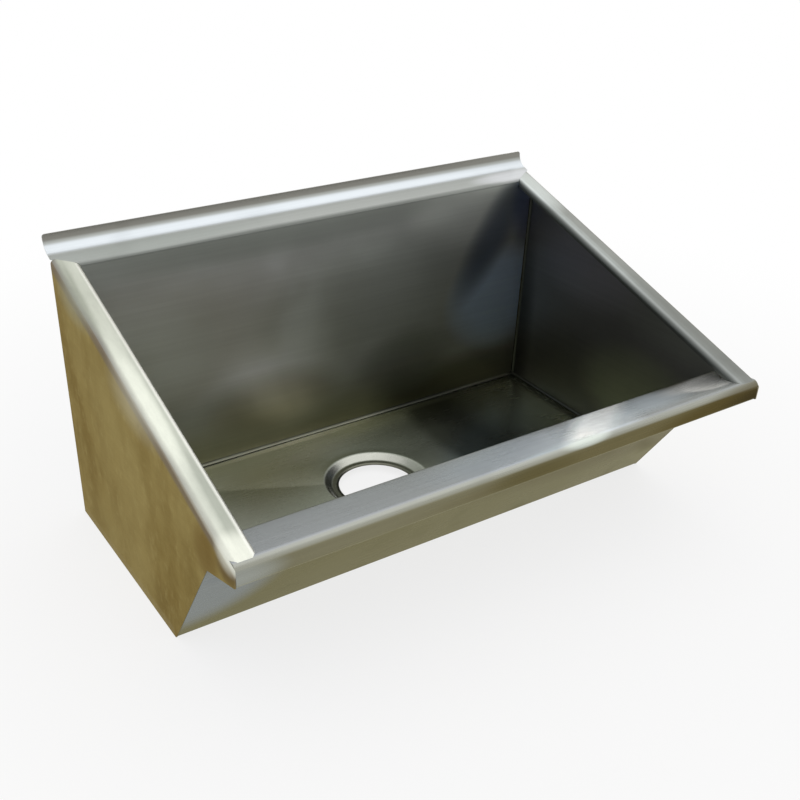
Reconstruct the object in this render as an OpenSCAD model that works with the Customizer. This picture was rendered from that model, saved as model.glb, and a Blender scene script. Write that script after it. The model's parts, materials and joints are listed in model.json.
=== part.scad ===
// Wall-hung wash trough folded from stainless sheet: a back panel with its shelf and upstand,
// a front panel with its ledge and lip, two end panels with their rims, a creased floor with
// a waste recess, the seam welds, and the rail that it hangs on.
// Millimetres. +Z is up, the front faces -Y, and the origin is at the middle of the base.

/* [Sheet] */
// Width over the two end panels
trough_width = 600; // [450:10:1200]
// Thickness of the panels' sheet
sheet = 1.5; // [1:0.1:2]
// Inside radius of a plain fold
fold_r = 2.5; // [1.5:0.5:3.5]

/* [End panels] */
// Depth of an end panel along its base
panel_base = 243; // [220:1:270]
// Height of the rim at the end panels' rear edge
panel_rear = 294; // [270:1:330]
// Height of the rim at the lip's face
panel_front = 168; // [150:1:185]
// From the end panels' rear edge to the lip's face
rim_reach = 377; // [360:1:400]
// Width of a side rim
rim_width = 25; // [18:1:32]
// Inside radius of the folds along both edges of a rim
rim_fold_r = 4.5; // [2.5:0.5:6]
// Height of the rim's turned-down inner edge
rim_return = 8; // [7.5:0.5:12]
// From the lip's face back to the top of the notch under the ledge
notch_depth = 52; // [45:1:58]
// Height of the notch's top
notch_height = 133.5; // [120:0.5:140]

/* [Back panel] */
// From the end panels' rear edge to the wall
wall_gap = 18; // [14:1:24]
// From the end panels' rear edge to the bowl's back face
back_inset = 14.5; // [10:0.5:18]
// Inside radius of the cove between the shelf and the upstand
cove_r = 16; // [8:1:18]
// Height of the upstand above the rim's plane
upstand_height = 13; // [12.5:0.5:20]
// Radius of the upstand's top corners
upstand_r = 3; // [1:0.5:7]

/* [Front panel] */
// Depth of the ledge from its inner fold to the lip's face
ledge_depth = 50.5; // [46:0.5:54]
// How far the ledge falls towards the bowl
ledge_fall = 8; // [4:0.5:12]
// Height of the lip's face below the rim's plane
lip_height = 18.5; // [16:0.5:22]
// Inside radius of the fold from the ledge to the lip's face
lip_fold_r = 5.5; // [3:0.5:7]
// Length of the lip's return under the ledge
lip_return = 14; // [9:1:20]
// Length of the flanges under the front and back panels
foot_length = 15; // [9:1:20]

/* [Floor] */
// Height of the floor's top along the back panel
floor_rear = 23; // [19:0.5:26]
// Height of the floor's top along the front panel
floor_front = 17; // [16.5:0.5:19]
// Height of the land round the waste recess
land_height = 15.5; // [13:0.5:16]
// From the bowl's back face to the middle of the waste hole
waste_back = 119; // [105:1:125]
// Radius of the recess's mouth
recess_r = 60; // [57:0.5:66]
// Depth of the recess
recess_depth = 6; // [4:0.5:8]
// Width of the recess's seat round the waste hole
recess_seat = 8; // [6:0.5:10]
// Radius of the waste hole
waste_r = 44; // [35:0.5:45]
// Inside radius of the recess's two folds
recess_fold_r = 5; // [2.5:0.5:5]

/* [Welds] */
// Leg of a seam weld
weld_leg = 3; // [2:0.5:4]

/* [Hanger] */
// Thickness of the hanger's sheet
hanger_sheet = 2; // [1.5:0.5:3]
// Height of the hook rail's top
hook_top = 255; // [235:1:265]
// From the trough's end to the hook rail's end
hook_inset = 50; // [20:5:150]
// Height of the hook rail's two legs
hook_leg = 20; // [16:1:26]
// Space between the hook's tongue and the wall
hook_stand = 5; // [4:0.5:8]
// From the trough's end to the wall rail's end
rail_inset = 40; // [10:5:80]
// Height of the wall rail's plate
rail_plate = 44; // [36:1:60]
// From the trough's end to the middle of a slot
slot_inset = 100; // [60:5:200]
// Width of a slot
slot_width = 9; // [6:0.5:11]
// Length of a slot from end to end
slot_length = 20; // [16:1:30]
// Running space between the rail's tongue and the hook's tongue
tongue_gap = 2; // [1:0.5:3]
// From the trough's end to the middle of a lower spacer
spacer_inset = 100; // [40:5:200]
// Width of a lower spacer
spacer_width = 40; // [24:1:60]
// Height of a lower spacer
spacer_height = 40; // [20:1:60]
// Height of a lower spacer's bottom edge
spacer_bottom = 30; // [24:1:60]

/* [Hidden] */

// Largest turn of one flat step in the arc of a fold, in degrees
fold_facet = 8;
// Flat steps of the creased floor along its rear, left, front and right edge
floor_steps = [20, 8, 20, 8];
// Width of the land round the recess's mouth, and how far from the mouth the creases end
land_width = 5;
land_lap = 3;
// Radius of a weld's hollow face, as a share of its leg
weld_hollow = 0.85;
// Space left where one piece only rests on another
rest_gap = 0.3;
// A length past every face that a cutting solid passes through
past = 5;

steel = [0.72, 0.73, 0.72];
brushed = [0.62, 0.63, 0.62];
gilded = [0.62, 0.55, 0.33];
bead = [0.82, 0.83, 0.82];
mill = [0.55, 0.57, 0.6];

half_width = trough_width / 2;
bowl_half = half_width - sheet;
outer_r = fold_r + sheet;
rim_outer_r = rim_fold_r + sheet;
lip_outer_r = lip_fold_r + sheet;

// Places along Y, from the wall forwards
wall_y = (wall_gap + rim_reach) / 2;
panel_y = wall_y - wall_gap;
bowl_y = panel_y - back_inset;
lip_y = panel_y - rim_reach;
base_y = panel_y - panel_base;
notch_y = lip_y + notch_depth;
waste_y = bowl_y - waste_back;

// The rim's plane runs through the rear edge's top and the lip's top
rim_slope = atan2(panel_rear - panel_front, rim_reach);
function rim_z(y) = panel_rear - (panel_y - y) * tan(rim_slope);

// The front panel's leaning wall follows the end panels' front edge
lean = (base_y - notch_y) / notch_height;
function lean_y(z) = base_y - lean * z + sheet * sqrt(1 + lean * lean);

// The rim's plane and the ledge both touch the arc of the lip's fold
ledge_slope = atan2(ledge_fall, ledge_depth);
ledge_top = panel_front + lip_outer_r
    * (tan(rim_slope) + tan(ledge_slope) + 1 / cos(ledge_slope) - 1 / cos(rim_slope));
lip_bottom = panel_front - lip_height;
ledge_y = lip_y + ledge_depth;
return_slope = atan2(lip_bottom - notch_height, notch_depth);

seat_z = land_height - recess_depth;
seat_r = waste_r + recess_seat;
ring_r = recess_r + land_lap;

// Folded sheet

function unit(v) = v / norm(v);
function left_of(a, b) = [a[1] - b[1], b[0] - a[0]] / norm(b - a);
function turns_left(a, b, c) = cross(b - a, c - b) > 0;

// A path's corners moved sideways by d, to the left when d is positive
function shifted(path, d) = [for (i = [0:len(path) - 1])
    let (n = left_of(path[max(i - 1, 0)], path[max(i, 1)]))
    let (m = left_of(path[min(i, len(path) - 2)], path[min(i + 1, len(path) - 1)]))
    path[i] + d * (n + m) / (1 + n * m)];

// The arc of radius r that rounds the corner b between a and c
function corner(a, b, c, r) =
    let (u = unit(a - b), v = unit(c - b), half = acos(u * v) / 2, turn = 180 - 2 * half)
    let (middle = b + unit(u + v) * r / sin(half), steps = ceil(turn / fold_facet))
    let (e = b + u * r / tan(half) - middle, f = b + v * r / tan(half) - middle)
    [for (k = [0:steps]) let (t = k / steps)
        middle + (sin((1 - t) * turn) * e + sin(t * turn) * f) / sin(turn)];

// A path with its corners rounded: radii holds the inside radius of every fold in turn, or is
// one for all, and more is added at a turn to the left or to the right
function rounded(path, radii, more_left = 0, more_right = 0) = concat([path[0]],
    [for (i = [1:len(path) - 2])
        let (more = turns_left(path[i - 1], path[i], path[i + 1]) ? more_left : more_right)
        let (r = is_list(radii) ? radii[i - 1] : radii)
        each corner(path[i - 1], path[i], path[i + 1], r + more)],
    [path[len(path) - 1]]);

function reversed(list) = [for (i = [len(list) - 1:-1:0]) list[i]];

// Section of a sheet of thickness t along a path of its face; side is 1 when the sheet lies
// to the left of the path, and -1 when it lies to the right
module folded(path, t, side, radii = fold_r) {
    left = side > 0 ? t : 0;
    face = rounded(path, radii, left, t - left);
    other = rounded(shifted(path, side * t), radii, t - left, left);
    polygon(concat(face, reversed(other)));
}

// Extrudes a section drawn in Y and Z along X
module along_x(from, to) {
    translate([from, 0, 0])
        rotate([90, 0, 90])
            linear_extrude(to - from)
                children();
}

// Extrudes a plan drawn in X and Y upwards
module up_z(from, to) {
    translate([0, 0, from])
        linear_extrude(to - from)
            children();
}

// The panels

// Plan of the right side rim, mitred to the back panel's shelf
module rim_plan() {
    inner = half_width - rim_width;
    polygon([[inner, lip_y], [half_width, lip_y], [half_width, panel_y], [inner, bowl_y]]);
}

// Section of a side rim across its slope: the fold from the panel, the rim and its return
module rim_section() {
    inner = half_width - rim_width;
    path = [[half_width, -rim_outer_r], [half_width, 0], [inner, 0], [inner, -rim_return]];
    folded(path, sheet, 1, rim_fold_r);
}

// Outline of an end panel, below the fold of its rim
module panel_outline() {
    drop = rim_outer_r / cos(rim_slope);
    polygon([[panel_y, 0], [base_y, 0], [notch_y, notch_height], [lip_y, lip_bottom],
        [lip_y, panel_front - drop], [panel_y, panel_rear - drop]]);
}

// What lies behind the lip's face and the arc of its fold, and under the rim's plane
module behind_lip() {
    polygon(concat([[panel_y, -past]],
        rounded([[lip_y, -past], [lip_y, panel_front], [panel_y, panel_rear]], lip_outer_r)));
}

// Where the rim's plane touches the arc of the lip's fold
touch_y = lip_y + lip_outer_r * (1 - sin(rim_slope));

// What a rim is coped to: the ledge's top, and the lip's fold in front of where they touch
module cope() {
    polygon(concat([[lip_y - past, lip_bottom]],
        rounded([[lip_y, lip_bottom], [lip_y, ledge_top], [ledge_y, ledge_top - ledge_fall],
            [ledge_y, lip_bottom - past]], [lip_outer_r, fold_r]),
        [[lip_y - past, lip_bottom - past]]));
    translate([lip_y - past, lip_bottom])
        square([touch_y - lip_y + past, ledge_top - lip_bottom + past]);
}

module end_panel() {
    difference() {
        intersection() {
            union() {
                along_x(bowl_half, half_width)
                    panel_outline();
                intersection() {
                    translate([0, panel_y, panel_rear])
                        rotate([rim_slope, 0, 0])
                            translate([0, past, 0])
                                rotate([90, 0, 0])
                                    linear_extrude(rim_reach / cos(rim_slope) + 2 * past)
                                        rim_section();
                    up_z(0, panel_rear + past)
                        rim_plan();
                }
            }
            along_x(0, half_width + past)
                behind_lip();
        }
        along_x(0, bowl_half)
            cope();
    }
}

upstand_face = wall_y - sheet;
upstand_top = rim_z(upstand_face) + upstand_height;

// Path of the back panel's face: foot, bowl wall, shelf, upstand
back_path = [[bowl_y - foot_length, sheet], [bowl_y, sheet], [bowl_y, rim_z(bowl_y)],
    [upstand_face, rim_z(upstand_face)], [upstand_face, upstand_top]];

module back_section() {
    folded(back_path, sheet, -1, [fold_r, fold_r, cove_r]);
}

// Front view of the upstand, with its two top corners rounded
module upstand_view() {
    translate([-half_width, -past])
        square([trough_width, upstand_top - upstand_r + past]);
    translate([upstand_r - half_width, 0])
        square([trough_width - 2 * upstand_r, upstand_top]);
    for (x = [upstand_r - half_width, half_width - upstand_r])
        translate([x, upstand_top - upstand_r])
            circle(upstand_r, $fn = 32);
}

// What the back panel leaves free: the end panels' sheets and the side rims
module right_of_back() {
    up_z(-past, panel_rear + past)
        polygon([[half_width - rim_width, bowl_y - past], [half_width - rim_width, bowl_y],
            [half_width, panel_y], [half_width + past, panel_y],
            [half_width + past, bowl_y - past]]);
}

module back_panel() {
    color(brushed)
    union() {
        // The wall and its foot, between the end panels
        intersection() {
            along_x(-bowl_half, bowl_half)
                back_section();
            translate([-bowl_half, bowl_y - foot_length - past, 0])
                cube([2 * bowl_half, foot_length + back_inset, rim_z(bowl_y) - outer_r]);
        }
        // The shelf and the upstand, over the full width
        difference() {
            intersection() {
                along_x(-half_width, half_width)
                    back_section();
                translate([0, wall_y + past, 0])
                    rotate([90, 0, 0])
                        linear_extrude(wall_gap + back_inset + foot_length)
                            upstand_view();
            }
            translate([-half_width - past, bowl_y - foot_length - past, -past])
                cube([trough_width + 2 * past, foot_length + back_inset + past,
                    rim_z(bowl_y) - outer_r + past]);
            right_of_back();
            mirror([1, 0, 0])
                right_of_back();
        }
    }
}

// Path of the front panel's face: foot, leaning wall, knee, ledge, lip, return
front_path = [
    [lean_y(sheet) + foot_length, sheet],
    [lean_y(sheet), sheet],
    [lean_y(notch_height), notch_height],
    [ledge_y, ledge_top - ledge_fall],
    [lip_y, ledge_top],
    [lip_y, lip_bottom],
    [lip_y + lip_return * cos(return_slope), lip_bottom - lip_return * sin(return_slope)]];

module front_panel() {
    color(steel)
    along_x(-bowl_half, bowl_half)
        folded(front_path, sheet, 1, [fold_r, fold_r, fold_r, lip_fold_r, fold_r]);
}

module right_end_panel() {
    color(steel)
    end_panel();
}

module left_end_panel() {
    color(gilded)
    mirror([1, 0, 0])
        end_panel();
}

// The floor

// Height of the floor's top along its sides
function side_z(y) = floor_front
    + (floor_rear - floor_front) * (y - lean_y(floor_front)) / (bowl_y - lean_y(floor_front));

// Directions of the four creases from the waste hole, anticlockwise from the rear right one
front_y = lean_y(floor_front);
rear_turn = atan2(waste_back, bowl_half);
front_turn = atan2(waste_y - front_y, bowl_half);
creases = [rear_turn, 180 - rear_turn, 180 + front_turn, 360 - front_turn, 360 + rear_turn];

// Directions of the floor's rays, each after the number of the edge that it meets
rays = [for (c = [0:3], k = [0:floor_steps[c] - 1])
    [c, creases[c] + (creases[c + 1] - creases[c]) * k / floor_steps[c]]];

// Where a ray meets the floor's edge
function edge_point(ray) = let (a = ray[1])
    ray[0] == 0 ? [waste_back * cos(a) / sin(a), bowl_y]
    : ray[0] == 1 ? [-bowl_half, waste_y - bowl_half * tan(a)]
    : ray[0] == 2 ? [(front_y - waste_y) * cos(a) / sin(a), front_y]
    : [bowl_half, waste_y + bowl_half * tan(a)];

// Points along the floor's edges and round the land, drop below the floor's top
function edge_ring(drop) = [for (ray = rays)
    let (p = edge_point(ray))
    [p[0], max(p[1], lean_y(floor_front - drop)), side_z(p[1]) - drop]];
function land_ring(drop) = [for (ray = rays)
    [ring_r * cos(ray[1]), waste_y + ring_r * sin(ray[1]), land_height - drop]];

// Sheet that falls from its edges to the land, creased from each corner towards the waste hole
module creased_sheet() {
    n = len(rays);
    points = concat(edge_ring(0), land_ring(0), edge_ring(sheet), land_ring(sheet));
    function next(i) = (i + 1) % n;
    top = [for (i = [0:n - 1]) each
        [[i, next(i), n + next(i)], [i, n + next(i), n + i]]];
    under = [for (f = top) [f[0] + 2 * n, f[1] + 2 * n, f[2] + 2 * n]];
    outside = [for (i = [0:n - 1]) each
        [[next(i), i, i + 2 * n], [next(i), i + 2 * n, next(i) + 2 * n]]];
    inside = [for (i = [n:2 * n - 1]) let (j = n + next(i - n)) each
        [[i, j, j + 2 * n], [i, j + 2 * n, i + 2 * n]]];
    polyhedron(points = points,
        faces = concat([for (f = top) reversed(f)], under,
            [for (f = concat(outside, inside)) reversed(f)]));
}

// Half section of the waste recess: land, wall and seat
module recess_section() {
    path = [[recess_r + land_width, land_height], [recess_r, land_height], [seat_r, seat_z],
        [waste_r, seat_z]];
    folded(path, sheet, 1, recess_fold_r);
}

module floor_pan() {
    color(brushed)
    union() {
        creased_sheet();
        translate([0, waste_y, 0])
            rotate_extrude($fn = 96)
                recess_section();
    }
}

// The seam welds

// Section of a weld in the corner of two faces, in the quarter of +x and +y
module weld_section() {
    difference() {
        square(weld_leg);
        translate([weld_leg, weld_leg])
            circle(weld_leg * weld_hollow, $fn = 24);
    }
}

module right_seams() {
    under_rim = rim_z(bowl_y) - rim_return - outer_r;
    // Up the corner of the back panel
    translate([bowl_half, bowl_y, floor_rear])
        rotate([0, 0, 180])
            linear_extrude(under_rim - floor_rear)
                weld_section();
    // Along the floor
    side_length = bowl_y - lean_y(floor_front);
    translate([bowl_half, bowl_y, floor_rear])
        rotate([atan2(floor_rear - floor_front, side_length), 0, 0])
            rotate([90, 0, 0])
                linear_extrude(side_length)
                    mirror([1, 0, 0])
                        weld_section();
}

module right_seam_weld() {
    color(bead)
    right_seams();
}

module left_seam_weld() {
    color(bead)
    mirror([1, 0, 0])
        right_seams();
}

module rear_seam_weld() {
    color(bead)
    along_x(weld_leg - bowl_half, bowl_half - weld_leg)
        translate([bowl_y, floor_rear])
            mirror([1, 0])
                weld_section();
}

module front_seam_weld() {
    color(bead)
    along_x(weld_leg - bowl_half, bowl_half - weld_leg)
        translate([lean_y(floor_front), floor_front])
            weld_section();
}

// The hanger

hook_y = wall_y - hook_stand;
hook_back = bowl_y + sheet;
tongue_y = hook_y - hanger_sheet - tongue_gap;
tongue_top = hook_top - hanger_sheet - rest_gap;
jog_top = hook_top - hook_leg - rest_gap - fold_r;
jog_bottom = jog_top - (wall_y - tongue_y);
slot_z = jog_bottom - rail_plate / 2;
slot_x = half_width - slot_inset;

module hook_rail() {
    color(mill)
    along_x(hook_inset - half_width, half_width - hook_inset)
        folded([[hook_back, hook_top - hook_leg], [hook_back, hook_top],
            [hook_y, hook_top], [hook_y, hook_top - hook_leg]], hanger_sheet, -1);
}

module wall_rail() {
    color(mill)
    difference() {
        along_x(rail_inset - half_width, half_width - rail_inset)
            folded([[wall_y, jog_bottom - rail_plate], [wall_y, jog_bottom],
                [tongue_y, jog_top], [tongue_y, tongue_top]], hanger_sheet, 1);
        for (side = [-1, 1], end = [-1, 1])
            translate([side * slot_x + end * (slot_length - slot_width) / 2,
                wall_y + past, slot_z])
                rotate([90, 0, 0])
                    cylinder(h = hanger_sheet + 2 * past, d = slot_width, $fn = 48);
        for (side = [-1, 1])
            translate([side * slot_x - (slot_length - slot_width) / 2,
                wall_y - hanger_sheet - past, slot_z - slot_width / 2])
                cube([slot_length - slot_width, hanger_sheet + 2 * past, slot_width]);
    }
}

// A channel whose legs stand on the back panel and whose web lies on the wall
module spacer() {
    half = spacer_width / 2;
    up_z(spacer_bottom, spacer_bottom + spacer_height)
        folded([[-half, hook_back], [-half, wall_y], [half, wall_y], [half, hook_back]],
            hanger_sheet, -1);
}

module left_spacer() {
    color(mill)
    translate([spacer_inset - half_width, 0, 0])
        spacer();
}

module right_spacer() {
    color(mill)
    translate([half_width - spacer_inset, 0, 0])
        spacer();
}

back_panel();
floor_pan();
front_panel();
left_end_panel();
right_end_panel();
left_seam_weld();
right_seam_weld();
rear_seam_weld();
front_seam_weld();
hook_rail();
wall_rail();
left_spacer();
right_spacer();
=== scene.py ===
"""Looks of the wall-hung wash trough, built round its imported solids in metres."""

import json
import logging
import math
from dataclasses import dataclass, field
from enum import Enum
from functools import cache

import bmesh
import bpy
from mathutils import Matrix, Vector


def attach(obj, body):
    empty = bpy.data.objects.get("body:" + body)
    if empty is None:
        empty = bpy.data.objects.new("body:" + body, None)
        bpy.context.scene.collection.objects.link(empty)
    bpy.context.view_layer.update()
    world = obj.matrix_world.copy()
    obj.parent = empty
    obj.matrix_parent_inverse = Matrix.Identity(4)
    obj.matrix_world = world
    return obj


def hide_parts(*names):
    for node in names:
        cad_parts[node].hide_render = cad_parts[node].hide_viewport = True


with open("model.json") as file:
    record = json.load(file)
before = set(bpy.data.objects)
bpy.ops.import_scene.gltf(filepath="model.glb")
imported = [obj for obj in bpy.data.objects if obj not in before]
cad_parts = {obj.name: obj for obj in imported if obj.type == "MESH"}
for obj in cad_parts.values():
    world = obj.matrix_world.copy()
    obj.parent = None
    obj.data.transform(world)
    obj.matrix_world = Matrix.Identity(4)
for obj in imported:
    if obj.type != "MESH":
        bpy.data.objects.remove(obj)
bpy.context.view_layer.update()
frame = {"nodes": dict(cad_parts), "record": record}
LOG = logging.getLogger("wash_trough")
MM = 0.001
SHARP_EDGE = math.radians(40)

Colour = tuple[float, float, float]
Point = tuple[float, float, float]
Ends = tuple[float, float]


def linear(red: int, green: int, blue: int) -> Colour:
    """Turns a colour seen on screen, from 0 to 255, into scene light.

    Args:
        red: The red share.
        green: The green share.
        blue: The blue share.

    Returns:
        The colour in linear light.
    """
    def one(value: int) -> float:
        """Undoes the display curve of one share."""
        share = value / 255
        return share / 12.92 if share <= 0.04045 else ((share + 0.055) / 1.055) ** 2.4

    return one(red), one(green), one(blue)


class Term:
    """A node's output that takes part in plain arithmetic."""

    def __init__(self, tree: "Tree", socket: bpy.types.NodeSocket) -> None:
        """Holds the socket and the tree that it belongs to."""
        self.tree = tree
        self.socket = socket

    def _with(self, operation: str, first: object, second: object) -> "Term":
        """Adds a Math node for one operation on two terms or numbers."""
        return self.tree.add("ShaderNodeMath", {"operation": operation}, {0: first, 1: second})

    def __add__(self, other: object) -> "Term":
        """Adds."""
        return self._with("ADD", self, other)

    def __radd__(self, other: object) -> "Term":
        """Adds, when the number comes first."""
        return self._with("ADD", other, self)

    def __sub__(self, other: object) -> "Term":
        """Subtracts."""
        return self._with("SUBTRACT", self, other)

    def __rsub__(self, other: object) -> "Term":
        """Subtracts this term from a number."""
        return self._with("SUBTRACT", other, self)

    def __mul__(self, other: object) -> "Term":
        """Multiplies."""
        return self._with("MULTIPLY", self, other)

    def __rmul__(self, other: object) -> "Term":
        """Multiplies, when the number comes first."""
        return self._with("MULTIPLY", other, self)

    def __truediv__(self, other: object) -> "Term":
        """Divides."""
        return self._with("DIVIDE", self, other)

    def __rtruediv__(self, other: object) -> "Term":
        """Divides a number by this term."""
        return self._with("DIVIDE", other, self)

    def __pow__(self, other: object) -> "Term":
        """Raises to a power."""
        return self._with("POWER", self, other)

    def least(self, other: object) -> "Term":
        """Takes the smaller of two."""
        return self._with("MINIMUM", self, other)

    def most(self, other: object) -> "Term":
        """Takes the larger of two."""
        return self._with("MAXIMUM", self, other)

    def within(self, low: float, high: float) -> "Term":
        """Holds the term between two numbers."""
        return self.most(low).least(high)

    def size(self) -> "Term":
        """Drops the sign."""
        return self.tree.add("ShaderNodeMath", {"operation": "ABSOLUTE"}, {0: self})

    def sine(self) -> "Term":
        """Takes the sine of an angle in radians."""
        return self.tree.add("ShaderNodeMath", {"operation": "SINE"}, {0: self})

    def cosine(self) -> "Term":
        """Takes the cosine of an angle in radians."""
        return self.tree.add("ShaderNodeMath", {"operation": "COSINE"}, {0: self})


class Tree:
    """A node tree whose nodes all come from one method."""

    def __init__(self, tree: bpy.types.NodeTree) -> None:
        """Holds Blender's tree."""
        self.tree = tree

    def add(self, kind: str, settings: dict[str, object] | None = None,
            inputs: dict[int | str, object] | None = None, output: int | str = 0) -> Term:
        """Adds one node and links or sets its sockets.

        Args:
            kind: The node's type.
            settings: Properties that are set before the sockets.
            inputs: Values or terms by the socket's name or place.
            output: The name or place of the output that is wanted.

        Returns:
            The wanted output as a term.
        """
        node = self.tree.nodes.new(kind)
        for key, value in (settings or {}).items():
            setattr(node, key, value)
        for key, value in (inputs or {}).items():
            socket = node.inputs[key]
            if isinstance(value, Term):
                self.tree.links.new(value.socket, socket)
            else:
                socket.default_value = value
        return Term(self, node.outputs[output])

    def joined(self, x: object, y: object, z: object) -> Term:
        """Joins three terms or numbers into a vector."""
        return self.add("ShaderNodeCombineXYZ", None, {0: x, 1: y, 2: z})

    def parted(self, vector: Term) -> tuple[Term, ...]:
        """Parts a vector into its three numbers."""
        split = self.add("ShaderNodeSeparateXYZ", None, {0: vector})
        return tuple(Term(self, split.socket.node.outputs[axis]) for axis in range(3))


class Paint(Tree):
    """The node tree of a material."""

    def __init__(self, name: str) -> None:
        """Starts an empty material.

        Args:
            name: The material's name.
        """
        self.material = bpy.data.materials.new(name)
        self.material.use_nodes = True
        super().__init__(self.material.node_tree)
        self.tree.nodes.clear()

    def place(self) -> tuple[Term, ...]:
        """Gives the object's own coordinates, in metres."""
        return self.parted(self.add("ShaderNodeTexCoord", output="Object"))

    def noise(self, vector: Term, scale: float, detail: float = 3.0,
              roughness: float = 0.5) -> Term:
        """Gives a noise from 0 to 1 over a vector."""
        return self.add("ShaderNodeTexNoise", None, {
            "Vector": vector, "Scale": scale, "Detail": detail, "Roughness": roughness})

    def stepped(self, value: Term, low: float, high: float) -> Term:
        """Turns a value into a smooth step from 0 at low to 1 at high."""
        return self.add("ShaderNodeMapRange", {"interpolation_type": "SMOOTHSTEP"},
                        {"Value": value, "From Min": low, "From Max": high})

    def rising(self, length: Term, ends: Ends) -> Term:
        """Turns a length into a smooth step between two ends in millimetres."""
        return self.stepped(length, ends[0] * MM, ends[1] * MM)

    @staticmethod
    def full(colour: object) -> object:
        """Gives a plain colour its alpha and leaves a term as it is."""
        return colour if isinstance(colour, Term) else (*colour, 1)

    def mixed(self, share: object, first: object, second: object) -> Term:
        """Mixes two colours.

        Args:
            share: How much of the second colour there is.
            first: The first colour, or a term that gives one.
            second: The second colour, or a term that gives one.

        Returns:
            The mixed colour.
        """
        return self.add("ShaderNodeMix", {"data_type": "RGBA"},
                        {0: share, 6: self.full(first), 7: self.full(second)}, output=2)

    def scaled(self, colour: object, factor: Term) -> Term:
        """Multiplies a colour by a term."""
        grey = self.joined(factor, factor, factor)
        return self.add("ShaderNodeMix", {"data_type": "RGBA", "blend_type": "MULTIPLY"},
                        {0: 1.0, 6: self.full(colour), 7: grey}, output=2)

    def finished(self, shader: Term) -> bpy.types.Material:
        """Ends the tree in a surface.

        Args:
            shader: The surface's shader.

        Returns:
            The material.
        """
        node = self.tree.nodes.new("ShaderNodeOutputMaterial")
        self.tree.links.new(shader.socket, node.inputs["Surface"])
        return self.material


class Shape(Tree):
    """A Geometry Nodes tree with named inputs."""

    def __init__(self, name: str) -> None:
        """Starts a tree that takes and gives a geometry.

        Args:
            name: The tree's name.
        """
        super().__init__(bpy.data.node_groups.new(name, "GeometryNodeTree"))
        for way in ("OUTPUT", "INPUT"):
            self.tree.interface.new_socket("Geometry", in_out=way,
                                           socket_type="NodeSocketGeometry")
        self.sockets: dict[str, str] = {}
        self.start = self.tree.nodes.new("NodeGroupInput")

    def given(self) -> Term:
        """Gives the geometry that comes in."""
        return Term(self, self.start.outputs["Geometry"])

    def taking(self, name: str, kind: str = "NodeSocketFloat") -> Term:
        """Adds a named input.

        Args:
            name: The input's name.
            kind: The type of its socket.

        Returns:
            The input as a term.
        """
        socket = self.tree.interface.new_socket(name, in_out="INPUT", socket_type=kind)
        self.sockets[name] = socket.identifier
        return Term(self, self.start.outputs[name])

    def noted(self, geometry: Term, value: Term) -> tuple[Term, Term]:
        """Notes a value on the geometry's points.

        Args:
            geometry: The geometry.
            value: The value.

        Returns:
            The geometry, and the value as noted on it.
        """
        node = self.tree.nodes.new("GeometryNodeCaptureAttribute")
        node.capture_items.new("FLOAT", "Value")
        self.tree.links.new(geometry.socket, node.inputs[0])
        self.tree.links.new(value.socket, node.inputs[1])
        return Term(self, node.outputs[0]), Term(self, node.outputs[1])

    def ended(self, geometry: Term) -> None:
        """Ends the tree in real geometry that wears the material.

        Args:
            geometry: The finished geometry.
        """
        real = self.add("GeometryNodeRealizeInstances", None, {0: geometry})
        smooth = self.add("GeometryNodeSetShadeSmooth", None, {0: real})
        worn = self.add("GeometryNodeSetMaterial", None,
                        {0: smooth, "Material": self.taking("Material", "NodeSocketMaterial")})
        end = self.tree.nodes.new("NodeGroupOutput")
        self.tree.links.new(worn.socket, end.inputs[0])

    def made(self, name: str, base: bpy.types.Mesh, values: dict[str, object]) -> bpy.types.Object:
        """Runs the tree on a base mesh and keeps what comes out as a plain mesh.

        Args:
            name: The new object's name.
            base: The mesh that the tree starts from.
            values: The inputs by name.

        Returns:
            The object, without its modifier.
        """
        thing = bpy.data.objects.new(name, base)
        bpy.context.scene.collection.objects.link(thing)
        modifier = thing.modifiers.new("shape", "NODES")
        modifier.node_group = self.tree
        for key, value in values.items():
            modifier[self.sockets[key]] = value
        graph = bpy.context.evaluated_depsgraph_get()
        mesh = bpy.data.meshes.new_from_object(thing.evaluated_get(graph), depsgraph=graph)
        thing.modifiers.remove(modifier)
        thing.data = mesh
        mesh.name = name
        return thing


def chain(name: str, points: list[Point]) -> bpy.types.Mesh:
    """Makes a mesh of points joined in a row.

    Args:
        name: The mesh's name.
        points: The points in metres.

    Returns:
        The mesh.
    """
    mesh = bpy.data.meshes.new(name)
    mesh.from_pydata(points, [(i, i + 1) for i in range(len(points) - 1)], [])
    return mesh


class Grain(Enum):
    """The way along which a sheet was brushed."""

    WIDTH = "x"
    DEPTH = "y"


@dataclass(frozen=True)
class Wash:
    """A soft patch of another colour round a point, in millimetres; the tables below use it for
    painted highlights, shade and reflections.
    """

    centre: Point
    reach: Point
    colour: Colour
    amount: float = 1.0
    edge: float = 0.0

    def share(self, n: Paint, place: tuple[Term, ...]) -> Term:
        """Gives how much of the wash there is.

        Args:
            n: The tree.
            place: The object's coordinates.

        Returns:
            A share from 0 to the wash's amount.
        """
        total: Term | None = None
        for term, centre, reach in zip(place, self.centre, self.reach):
            part = ((term - centre * MM) * (1 / (reach * MM))) ** 2
            total = part if total is None else total + part
        return n.stepped(total, 1.0, self.edge) * self.amount


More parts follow.
